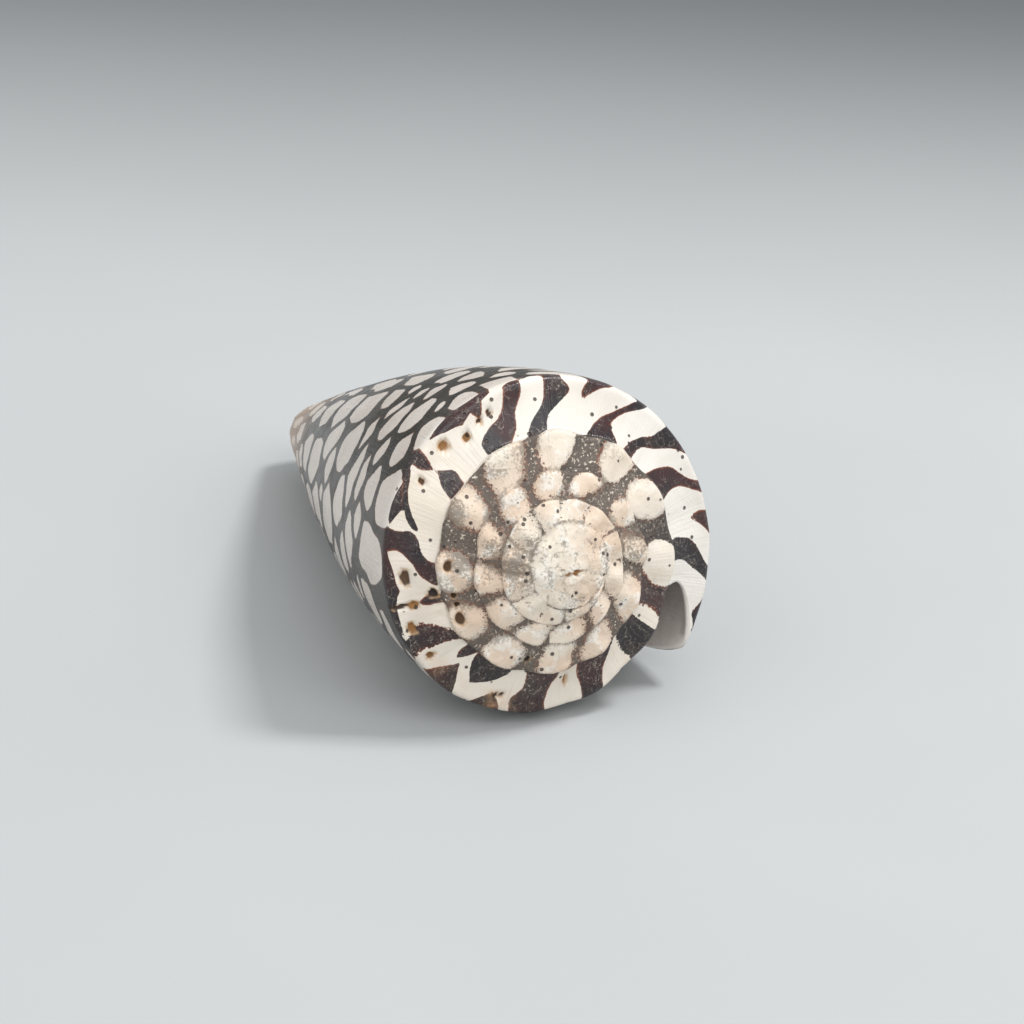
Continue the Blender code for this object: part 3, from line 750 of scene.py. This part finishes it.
def calc(tree, operation, *values, clamp=False):
    """One sum of the shader: the operation on its numbers."""
    made = tree.nodes.new("ShaderNodeMath")
    made.operation = operation
    made.use_clamp = clamp
    for k, value in enumerate(values):
        if isinstance(value, bpy.types.NodeSocket):
            tree.links.new(value, made.inputs[k])
        else:
            made.inputs[k].default_value = value
    return made.outputs[0]


def step(tree, value, lo, hi, out_lo=0.0, out_hi=1.0):
    """Smooth step of a number from lo to hi."""
    inputs = {"Value": value, "From Min": lo, "From Max": hi, "To Min": out_lo, "To Max": out_hi}
    return wire(tree, "ShaderNodeMapRange", inputs, interpolation_type="SMOOTHSTEP").outputs["Result"]


def blend_colour(tree, amount, one, two):
    """Colour one where the amount is 0, two where it is 1."""
    made = tree.nodes.new("ShaderNodeMix")
    made.data_type = "RGBA"
    for key, value in ((0, amount), (6, one), (7, two)):
        if isinstance(value, bpy.types.NodeSocket):
            tree.links.new(value, made.inputs[key])
        else:
            made.inputs[key].default_value = (*value, 1.0) if isinstance(value, tuple) else value
    return made.outputs[2]


def cloud(tree, where, scale, detail=3.0, rough=0.5):
    """Noise of that many bumps per metre (or per mm along the grain)."""
    inputs = {"Vector": where, "Scale": scale, "Detail": detail, "Roughness": rough}
    return wire(tree, "ShaderNodeTexNoise", inputs).outputs["Fac"]


def marbled_lime():
    """Layered lime: pale tents and knobs on dark, with rusty edges, scratches, borings and wear, dirt, and
    painted shade in the suture crease, between the knobs and in the holes.
    """
    material = bpy.data.materials.new("marbled shell lime")
    material.use_nodes = True
    tree = material.node_tree
    glaze = tree.nodes["Principled BSDF"]
    where = wire(tree, "ShaderNodeTexCoord", {}).outputs["Object"]
    along = wire(tree, "ShaderNodeAttribute", {}, attribute_name="grain").outputs["Vector"]
    lines = wire(tree, "ShaderNodeMapping", {"Vector": along, "Scale": (3.2, 0.12, 1.0)}).outputs["Vector"]
    hairs = wire(tree, "ShaderNodeMapping", {"Vector": along, "Scale": (5.0, 0.20, 1.0)}).outputs["Vector"]
    pale, worn, old = field(tree, "pale"), field(tree, "worn"), field(tree, "old")
    hole, ochre, stain = field(tree, "hole"), field(tree, "ochre"), field(tree, "stain")
    inside, on_side, tip = field(tree, "inside"), field(tree, "side"), field(tree, "tip")
    ink_left = field(tree, "ink")
    specks = cloud(tree, where, 2900.0, 4.0, 0.65)
    mottle = cloud(tree, where, 420.0, 4.0, 0.6)
    patches = cloud(tree, where, 130.0, 3.0, 0.55)
    striae = cloud(tree, lines, 1.0, 3.0, 0.6)
    fine = cloud(tree, hairs, 1.0, 3.0, 0.6)

    # The signed distance of a mark's edge, made ragged by specks and growth lines
    bitten = calc(tree, "MULTIPLY_ADD", calc(tree, "SUBTRACT", 1.0, ink_left), 3.2, 0.25)
    bitten = calc(tree, "MULTIPLY_ADD", old, 1.8, bitten)
    ragged = calc(tree, "MULTIPLY_ADD", calc(tree, "SUBTRACT", specks, 0.5), bitten, pale)
    ragged = calc(tree, "MULTIPLY_ADD", calc(tree, "SUBTRACT", striae, 0.5), 0.22, ragged)
    blotch = calc(tree, "MULTIPLY", old, calc(tree, "SUBTRACT", mottle, 0.5))
    ragged = calc(tree, "MULTIPLY_ADD", blotch, 1.6, ragged)
    white = step(tree, ragged, -0.06, 0.06)

    lime = blend_colour(tree, field(tree, "warm"), (0.73, 0.69, 0.63), (0.735, 0.65, 0.54))
    lime = blend_colour(tree, on_side, lime, (0.64, 0.575, 0.515))
    chalk = blend_colour(tree, step(tree, patches, 0.36, 0.62), (0.73, 0.65, 0.54), (0.68, 0.52, 0.39))
    chalk = blend_colour(tree, step(tree, mottle, 0.50, 0.62, 0.0, 0.75), chalk, (0.84, 0.80, 0.73))
    chalk = blend_colour(tree, step(tree, mottle, 0.44, 0.34, 0.0, 0.45), chalk, (0.54, 0.42, 0.32))
    lime = blend_colour(tree, old, lime, chalk)
    lime = blend_colour(tree, tip, lime, (0.66, 0.54, 0.43))
    lime = blend_colour(tree, step(tree, patches, 0.45, 0.70, 0.0, 0.22), lime, (0.44, 0.37, 0.30))
    lime = blend_colour(tree, step(tree, striae, 0.56, 0.80, 0.0, 0.35), lime, (0.40, 0.34, 0.28))
    # Dirt, and painted shade in the suture crease, between the knobs and in the apex groove, darken the lime
    # toward brown
    dirt_and_crease_shade = field(tree, "dirt_and_crease_shade")
    blotch = calc(tree, "SUBTRACT", mottle, 0.5)
    grime_and_shade = calc(tree, "MULTIPLY_ADD", calc(tree, "SUBTRACT", specks, 0.5), 1.6, blotch)
    grime_and_shade = step(tree, calc(tree, "MULTIPLY_ADD", dirt_and_crease_shade, 0.55, grime_and_shade), 0.12, 0.50)
    where_grime_and_shade = calc(tree, "MULTIPLY_ADD", old, 0.6, calc(tree, "MULTIPLY", dirt_and_crease_shade, 0.6))
    grime_and_shade = calc(tree, "MULTIPLY", calc(tree, "MULTIPLY", grime_and_shade, 0.85), where_grime_and_shade)
    lime = blend_colour(tree, grime_and_shade, lime, (0.20, 0.155, 0.115))

    ink = blend_colour(tree, step(tree, patches, 0.40, 0.65), (0.013, 0.009, 0.011), (0.040, 0.012, 0.012))
    side_ink = blend_colour(tree, striae, (0.020, 0.018, 0.014), (0.060, 0.052, 0.042))
    ink = blend_colour(tree, on_side, ink, side_ink)
    grey = blend_colour(tree, mottle, (0.030, 0.023, 0.019), (0.19, 0.152, 0.118))
    rub = calc(tree, "MULTIPLY_ADD", fine, 0.5, calc(tree, "MULTIPLY", worn, 0.6))
    rub = step(tree, rub, 0.40, 0.85, 0.0, 0.8)
    ink = blend_colour(tree, rub, ink, grey)
    ink = blend_colour(tree, calc(tree, "MULTIPLY", old, 0.40), ink, (0.17, 0.138, 0.110))
    scratch = step(tree, fine, 0.60, 0.72, 0.0, 0.35)
    ink = blend_colour(tree, scratch, ink, (0.17, 0.145, 0.12))
    thread = calc(tree, "ABSOLUTE", calc(tree, "SUBTRACT", cloud(tree, where, 900.0, 2.0, 0.6), 0.5))
    scored = calc(tree, "MULTIPLY", step(tree, thread, 0.016, 0.004), step(tree, mottle, 0.40, 0.62))
    scored = calc(tree, "MULTIPLY", scored, calc(tree, "MULTIPLY_ADD", on_side, -0.8, 1.0))
    ink = blend_colour(tree, calc(tree, "MULTIPLY", scored, 0.6), ink, (0.38, 0.33, 0.27))
    fleck = calc(tree, "MULTIPLY", step(tree, specks, 0.57, 0.64), calc(tree, "MULTIPLY", worn, worn))
    fleck = calc(tree, "MULTIPLY", fleck, calc(tree, "SUBTRACT", 1.0, on_side))
    ink = blend_colour(tree, calc(tree, "MULTIPLY", fleck, 1.2, clamp=True), ink, (0.62, 0.54, 0.44))
    ink = blend_colour(tree, tip, ink, (0.40, 0.28, 0.20))
    rust = step(tree, ragged, -0.30, -0.02, 0.0, 0.8)
    rust = calc(tree, "MULTIPLY", rust, step(tree, patches, 0.38, 0.58))
    rust = calc(tree, "MULTIPLY", rust, calc(tree, "MULTIPLY_ADD", on_side, -0.75, 1.0))
    ink = blend_colour(tree, rust, ink, (0.22, 0.06, 0.02))

    colour = blend_colour(tree, white, ink, lime)
    soaked = calc(tree, "MULTIPLY", stain, step(tree, mottle, 0.42, 0.64, 0.08, 0.60))
    colour = blend_colour(tree, soaked, colour, (0.50, 0.25, 0.11))
    colour = blend_colour(tree, calc(tree, "MULTIPLY", field(tree, "rim"), 0.7), colour, (0.50, 0.30, 0.14))
    enamel = blend_colour(tree, striae, (0.80, 0.71, 0.64), (0.92, 0.86, 0.80))
    colour = blend_colour(tree, inside, colour, enamel)
    # Holes: near-black painted shade for their depth, turning to ochre stain where the inside is stained
    pit_shade_and_ochre = blend_colour(tree, ochre, (0.03, 0.02, 0.015), (0.36, 0.17, 0.05))
    colour = blend_colour(tree, step(tree, hole, 0.25, 0.75), colour, pit_shade_and_ochre)

    # Fine borings: a dark dot in some cells, painted shade for pinholes too small for the mesh
    cells = wire(tree, "ShaderNodeTexVoronoi", {"Vector": where, "Scale": 700.0})
    chance = wire(tree, "ShaderNodeSeparateColor", {"Color": cells.outputs["Color"]}).outputs[0]
    few = step(tree, chance, 0.48, 0.50)
    dot = calc(tree, "MULTIPLY", step(tree, cells.outputs["Distance"], 0.19, 0.13), few)
    dot = calc(tree, "MULTIPLY", dot, calc(tree, "SUBTRACT", 1.0, inside))
    dot = calc(tree, "MULTIPLY", dot, calc(tree, "SUBTRACT", 1.0, on_side))
    colour = blend_colour(tree, calc(tree, "MULTIPLY", dot, 0.9), colour, (0.035, 0.022, 0.016))
    tree.links.new(colour, glaze.inputs["Base Color"])

    dull = calc(tree, "MULTIPLY_ADD", worn, 0.38, 0.22)
    dull = calc(tree, "MULTIPLY_ADD", hole, 0.3, dull)
    dull = calc(tree, "MULTIPLY_ADD", calc(tree, "SUBTRACT", mottle, 0.5), 0.3, dull)
    tree.links.new(dull, glaze.inputs["Roughness"])

    height = calc(tree, "MULTIPLY", striae, 0.35)
    height = calc(tree, "MULTIPLY_ADD", fine, 0.18, height)
    height = calc(tree, "MULTIPLY_ADD", mottle, calc(tree, "MULTIPLY", worn, 1.5), height)
    height = calc(tree, "MULTIPLY_ADD", specks, calc(tree, "MULTIPLY", worn, 0.35), height)
    height = calc(tree, "MULTIPLY_ADD", grime_and_shade, -0.5, height)
    height = calc(tree, "MULTIPLY_ADD", dot, -1.6, height)
    bump = wire(tree, "ShaderNodeBump", {"Strength": 0.8, "Distance": 0.00020, "Height": height})
    tree.links.new(bump.outputs["Normal"], glaze.inputs["Normal"])
    return material


mesh.materials.append(marbled_lime())
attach(shell, "root")
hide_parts("cone_shell")

# The floor
# A pale sheet that the shell lies on, curved up far behind it, with painted shade darkening it away from the
# camera.

def floor_surface():
    """Flat sheet whose far edge rises as a parabola."""
    x, y = np.meshgrid(np.linspace(-3.0, 3.0, 41), np.linspace(-3.0, 4.0, 71), indexing="ij")
    z = 0.35 * np.maximum(y - 2.4, 0.0) ** 2
    number = np.arange(x.size).reshape(x.shape)
    quad = np.stack([number[:-1, :-1], number[1:, :-1], number[1:, 1:], number[:-1, 1:]], axis=-1)
    sheet = bpy.data.meshes.new("floor")
    sheet.from_pydata(np.stack([x, y, z], axis=-1).reshape(-1, 3).tolist(), [], quad.reshape(-1, 4).tolist())
    sheet.polygons.foreach_set("use_smooth", np.ones(len(sheet.polygons), bool))
    return bpy.data.objects.new("floor", sheet)


floor = floor_surface()
bpy.context.scene.collection.objects.link(floor)
paper = bpy.data.materials.new("pale floor with painted falloff")
paper.use_nodes = True
sheet_tree = paper.node_tree
board = sheet_tree.nodes["Principled BSDF"]
spot = wire(sheet_tree, "ShaderNodeTexCoord", {}).outputs["Object"]
tone = step(sheet_tree, cloud(sheet_tree, spot, 14.0, 2.0), 0.3, 0.7)
tint = blend_colour(sheet_tree, tone, (0.418, 0.431, 0.434), (0.430, 0.443, 0.446))
# Painted shade: the sheet turns dark grey with distance from the camera, standing in for the light falling
# off behind the shell
apart = wire(sheet_tree, "ShaderNodeSeparateXYZ", {"Vector": spot})
away = calc(sheet_tree, "MULTIPLY", apart.outputs["X"], 0.444)
away = calc(sheet_tree, "MULTIPLY_ADD", apart.outputs["Y"], 0.896, away)
tint = blend_colour(sheet_tree, step(sheet_tree, away, 0.06, 0.30), tint, (0.088, 0.097, 0.101))
sheet_tree.links.new(tint, board.inputs["Base Color"])
board.inputs["Roughness"].default_value = 0.85
board.inputs["Specular IOR Level"].default_value = 0.2
floor.data.materials.append(paper)

# The light
# One soft lamp high on the right, weaker and larger ones in front and on the left, and an even sky.


def soft_lamp(name, at, size, watts):
    """Square area lamp at a point, turned toward the shell."""
    lamp = bpy.data.lights.new(name, "AREA")
    lamp.size = size
    lamp.energy = watts
    made = bpy.data.objects.new(name, lamp)
    z = np.array(at) / np.linalg.norm(at)
    x = np.cross((0.0, 0.0, 1.0), z)
    x = x / np.linalg.norm(x)
    y = np.cross(z, x)
    turn = Matrix(np.stack([x, y, z], axis=1).tolist()).to_4x4()
    made.matrix_world = Matrix.Translation(at) @ turn
    bpy.context.scene.collection.objects.link(made)
    return made


soft_lamp("high lamp", (0.50, -0.10, 0.95), 0.22, 7.3)
soft_lamp("front lamp", (0.10, -0.90, 0.85), 0.80, 4.5)
soft_lamp("left lamp", (-0.85, -0.15, 0.55), 0.90, 2.2)
sky = bpy.data.worlds.new("even sky")
sky.use_nodes = True
even = sky.node_tree.nodes["Background"]
even.inputs["Color"].default_value = (0.96, 0.98, 1.0, 1.0)
even.inputs["Strength"].default_value = 0.80
bpy.context.scene.world = sky
bpy.context.scene.view_settings.view_transform = "Standard"

# The camera
# A long lens looking down at the apex and the near side, as in the photograph.

camera_data = bpy.data.cameras.new("camera")
camera_data.sensor_width = 36.0
camera_data.lens = 141.36
camera_data.clip_start = 0.01
camera_data.clip_end = 20.0
camera = bpy.data.objects.new("camera", camera_data)
azimuth, elevation, roll = (math.radians(angle) for angle in (26.3644, 24.8084, 3.984))
level = np.array([math.cos(azimuth), -math.sin(azimuth), 0.0])
ahead = np.array([
    math.sin(azimuth) * math.cos(elevation),
    math.cos(azimuth) * math.cos(elevation),
    -math.sin(elevation),
])
over = np.cross(level, ahead)
right = level * math.cos(roll) + over * math.sin(roll)
up = np.cross(right, ahead)
turn = Matrix(np.stack([right, up, -ahead], axis=1).tolist()).to_4x4()
camera_at = apex_at + (-0.187167, -0.363095, 0.195454)
camera.matrix_world = Matrix.Translation(camera_at.tolist()) @ turn
bpy.context.scene.collection.objects.link(camera)
bpy.context.scene.camera = camera
